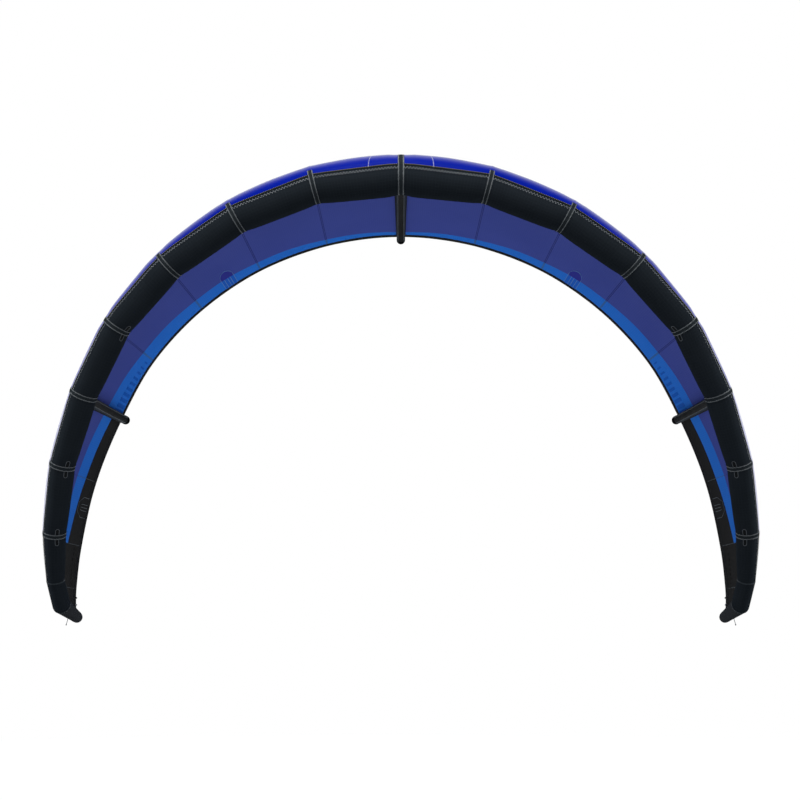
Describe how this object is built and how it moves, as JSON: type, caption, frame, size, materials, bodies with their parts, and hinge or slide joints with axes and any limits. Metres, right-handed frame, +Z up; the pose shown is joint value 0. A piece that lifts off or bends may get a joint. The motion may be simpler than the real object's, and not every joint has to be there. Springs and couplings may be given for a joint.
{
  "type": "kitesurfing kite",
  "caption": "Inflatable kitesurfing kite: a tapered leading edge tube bent into an arch, inflated struts and a curved cloth canopy sewn to them.",
  "frame": {"origin": "on the axis of the leading edge tube, in the middle of the kite", "axes": "+X along the span to the right seen from in front (the side with the inflation valve), +Y backwards from the leading edge to the trailing edge, +Z up through the top of the arch"},
  "size_m": [3.4972, 1.9274, 2.236],
  "materials": {
    "casing_cloth": "plain woven polyester, coated, low sheen",
    "bladder_film": "welded thermoplastic polyurethane film",
    "blue_canopy_cloth": "ripstop polyester, calendered",
    "black_canopy_cloth": "ripstop polyester, calendered",
    "strut_cloth": "plain woven polyester, coated, low sheen",
    "hose_rubber": "smooth silicone",
    "clip_plastic": "moulded nylon",
    "lever_plastic": "moulded nylon",
    "valve_plastic": "moulded polyurethane",
    "cap_plastic": "moulded polyurethane",
    "webbing": "woven nylon webbing",
    "cord": "braided polyester cord"
  },
  "bodies": {
    "kite": {"leading_edge_casing_1_left": "casing_cloth", "leading_edge_casing_2_left": "casing_cloth", "leading_edge_casing_3_left": "casing_cloth", "leading_edge_casing_4_left": "casing_cloth", "leading_edge_casing_5_left": "casing_cloth", "leading_edge_casing_6_left": "casing_cloth", "leading_edge_casing_7_left": "casing_cloth", "leading_edge_casing_8_left": "casing_cloth", "leading_edge_casing_1_right": "casing_cloth", "leading_edge_casing_2_right": "casing_cloth", "leading_edge_casing_3_right": "casing_cloth", "leading_edge_casing_4_right": "casing_cloth", "leading_edge_casing_5_right": "casing_cloth", "leading_edge_casing_6_right": "casing_cloth", "leading_edge_casing_7_right": "casing_cloth", "leading_edge_casing_8_right": "casing_cloth", "leading_edge_tip_left": "casing_cloth", "leading_edge_tip_right": "casing_cloth", "leading_edge_bladder": "bladder_film", "canopy_panel_centre": "blue_canopy_cloth", "canopy_panel_2_left": "blue_canopy_cloth", "canopy_panel_3_left": "blue_canopy_cloth", "canopy_panel_4_left": "blue_canopy_cloth", "canopy_panel_5_left": "blue_canopy_cloth", "canopy_panel_6_left": "blue_canopy_cloth", "canopy_panel_7_left": "black_canopy_cloth", "canopy_panel_2_right": "blue_canopy_cloth", "canopy_panel_3_right": "blue_canopy_cloth", "canopy_panel_4_right": "blue_canopy_cloth", "canopy_panel_5_right": "blue_canopy_cloth", "canopy_panel_6_right": "blue_canopy_cloth", "canopy_panel_7_right": "black_canopy_cloth", "canopy_panel_tip_left": "black_canopy_cloth", "canopy_panel_tip_right": "black_canopy_cloth", "strut_casing_centre": "strut_cloth", "strut_casing_left": "strut_cloth", "strut_casing_right": "strut_cloth", "strut_bladder_centre": "bladder_film", "strut_bladder_left": "bladder_film", "strut_bladder_right": "bladder_film", "strut_hose_centre": "hose_rubber", "strut_hose_left": "hose_rubber", "strut_hose_right": "hose_rubber", "clip_frame_centre": "clip_plastic", "clip_frame_left": "clip_plastic", "clip_frame_right": "clip_plastic", "inflation_valve_body": "valve_plastic", "bridle_tab_upper_left": "webbing", "bridle_tab_upper_right": "webbing", "bridle_tab_middle_left": "webbing", "bridle_tab_middle_right": "webbing", "bridle_tab_lower_left": "webbing", "bridle_tab_lower_right": "webbing", "tip_pigtail_left": "cord", "tip_pigtail_right": "cord"},
    "valve_cap": {"inflation_valve_cap": "cap_plastic"},
    "clip_lever_centre": {"clip_lever_centre": "lever_plastic"},
    "clip_lever_right": {"clip_lever_right": "lever_plastic"},
    "clip_lever_left": {"clip_lever_left": "lever_plastic"}
  },
  "joints": [
    {"name": "valve_cap_hinge", "type": "hinge", "parent": "kite", "child": "valve_cap", "pos_m": [0.20054, 0.1146, -0.00299], "axis": [1, 0, 0], "range_deg": [0, 150]},
    {"name": "clip_lever_centre_hinge", "type": "hinge", "parent": "kite", "child": "clip_lever_centre", "pos_m": [0.11635, 0.12962, -0.02263], "axis": [0, 1, 0], "range_deg": [0, 80]},
    {"name": "clip_lever_right_hinge", "type": "hinge", "parent": "kite", "child": "clip_lever_right", "pos_m": [1.41467, 0.32838, -0.87239], "axis": [0, 1, 0], "range_deg": [0, 80]},
    {"name": "clip_lever_left_hinge", "type": "hinge", "parent": "kite", "child": "clip_lever_left", "pos_m": [-1.41467, 0.32838, -0.87239], "axis": [0, -1, 0], "range_deg": [0, 80]}
  ]
}
